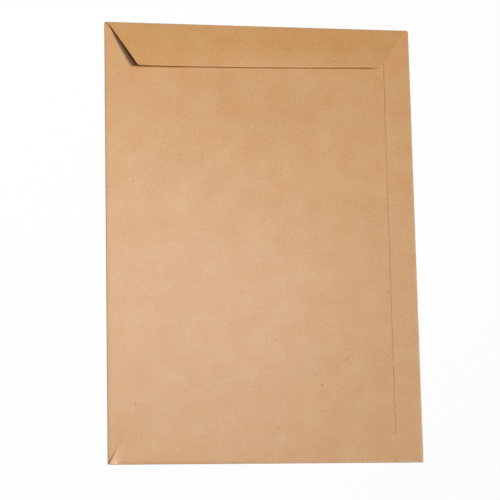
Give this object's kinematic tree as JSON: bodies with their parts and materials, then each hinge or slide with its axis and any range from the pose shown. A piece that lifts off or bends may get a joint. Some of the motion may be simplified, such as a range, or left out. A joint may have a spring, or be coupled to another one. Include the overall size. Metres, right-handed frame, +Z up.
{
  "type": "kraft envelope",
  "caption": "Large pocket envelope, folded and glued from one sheet of brown kraft paper, with a glued side seam, a glued bottom flap and a loose top flap.",
  "frame": {"origin": "under the middle of the front panel, on the surface that the envelope lies on", "axes": "+Y along the length towards the top fold, +X across towards the glued seam, +Z up out of the back panel"},
  "size_m": [0.229, 0.324, 0.0041],
  "materials": {
    "kraft_paper": "matt brown kraft paper with fine fibres, faint mottling and small dark specks"
  },
  "bodies": {
    "root": {"envelope": "kraft_paper"}
  },
  "joints": []
}
